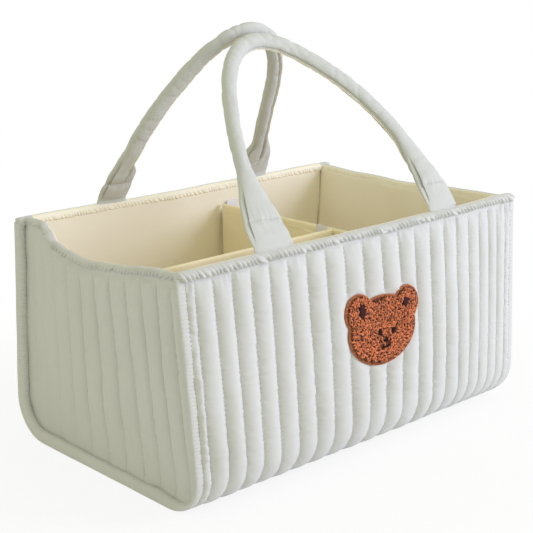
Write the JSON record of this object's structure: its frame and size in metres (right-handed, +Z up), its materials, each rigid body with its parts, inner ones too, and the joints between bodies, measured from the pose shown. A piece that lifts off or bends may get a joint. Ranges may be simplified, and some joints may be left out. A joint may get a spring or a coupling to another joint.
{
  "type": "diaper caddy",
  "caption": "Soft quilted nursery caddy: an open box with a lining, swinging padded handles, removable fastened dividers and a bear head patch on its front.",
  "frame": {"origin": "middle of the flat underside of the base, on the floor", "axes": "+X along the length to the right as seen from the front, -Y is the front with the patch, +Z up"},
  "size_m": [0.385, 0.2687, 0.3522],
  "materials": {
    "quilted_cloth": "matte quilted cotton, off-white",
    "lining_cloth": "smooth woven lining, cream",
    "interlining_felt": "pressed felt interlining",
    "board": "plain stiff board",
    "filling": "cotton wadding",
    "hook_and_loop": "white hook-and-loop tape",
    "patch_pile": "looped chenille pile, brown",
    "patch_border": "satin stitched edge, brown",
    "dark_thread": "embroidery thread, dark brown"
  },
  "bodies": {
    "caddy": {"outer_wrap": "quilted_cloth", "left_end_panel": "quilted_cloth", "right_end_panel": "quilted_cloth", "left_seam_flange": "quilted_cloth", "right_seam_flange": "quilted_cloth", "front_rim": "quilted_cloth", "back_rim": "quilted_cloth", "left_rim": "quilted_cloth", "right_rim": "quilted_cloth", "front_stiffener": "interlining_felt", "back_stiffener": "interlining_felt", "left_stiffener": "interlining_felt", "right_stiffener": "interlining_felt", "base_board": "board", "lining_wrap": "lining_cloth", "left_lining": "lining_cloth", "right_lining": "lining_cloth", "front_handle_left_tail": "quilted_cloth", "front_handle_right_tail": "quilted_cloth", "back_handle_left_tail": "quilted_cloth", "back_handle_right_tail": "quilted_cloth", "cross_back_loop_patch": "hook_and_loop", "cross_front_loop_patch": "hook_and_loop", "long_left_loop_patch": "hook_and_loop", "patch_backing": "patch_border", "patch_pile": "patch_pile", "patch_left_eye": "dark_thread", "patch_right_eye": "dark_thread", "patch_nose": "dark_thread", "patch_mouth": "dark_thread", "patch_left_inner_ear": "dark_thread", "patch_right_inner_ear": "dark_thread"},
    "front_handle": {"front_handle_cover": "quilted_cloth", "front_handle_core": "filling"},
    "back_handle": {"back_handle_cover": "quilted_cloth", "back_handle_core": "filling"},
    "cross_divider": {"cross_divider_sleeve": "lining_cloth", "cross_divider_board": "board", "long_right_loop_patch": "hook_and_loop"},
    "long_divider": {"long_divider_sleeve": "lining_cloth", "long_divider_board": "board"},
    "cross_back_flap": {"cross_back_flap": "lining_cloth", "cross_back_hook_patch": "hook_and_loop"},
    "cross_front_flap": {"cross_front_flap": "lining_cloth", "cross_front_hook_patch": "hook_and_loop"},
    "long_left_flap": {"long_left_flap": "lining_cloth", "long_left_hook_patch": "hook_and_loop"},
    "long_right_flap": {"long_right_flap": "lining_cloth", "long_right_hook_patch": "hook_and_loop"}
  },
  "joints": [
    {"name": "front_handle_swing", "type": "hinge", "parent": "caddy", "child": "front_handle", "pos_m": [0.001, -0.1157, 0.1958], "axis": [1, 0, 0], "range_deg": [0, 125]},
    {"name": "back_handle_swing", "type": "hinge", "parent": "caddy", "child": "back_handle", "pos_m": [-0.0012, 0.1157, 0.1958], "axis": [-1, 0, 0], "range_deg": [0, 121]},
    {"name": "cross_divider_lift", "type": "slide", "parent": "caddy", "child": "cross_divider", "axis": [0, 0, 1], "range_m": [0, 0.11]},
    {"name": "long_divider_lift", "type": "slide", "parent": "caddy", "child": "long_divider", "axis": [0, 0, 1], "range_m": [0, 0.09]},
    {"name": "cross_back_peel", "type": "hinge", "parent": "cross_divider", "child": "cross_back_flap", "pos_m": [0.0468, 0.1083, 0.129], "axis": [0, 0, -1], "range_deg": [0, 75]},
    {"name": "cross_front_peel", "type": "hinge", "parent": "cross_divider", "child": "cross_front_flap", "pos_m": [0.0468, -0.1083, 0.129], "axis": [0, 0, 1], "range_deg": [0, 75]},
    {"name": "long_left_peel", "type": "hinge", "parent": "long_divider", "child": "long_left_flap", "pos_m": [-0.1697, -0.0362, 0.129], "axis": [0.0323, 0, -0.9995], "range_deg": [0, 75]},
    {"name": "long_right_peel", "type": "hinge", "parent": "long_divider", "child": "long_right_flap", "pos_m": [0.0371, -0.0362, 0.129], "axis": [0, 0, 1], "range_deg": [0, 75]}
  ]
}
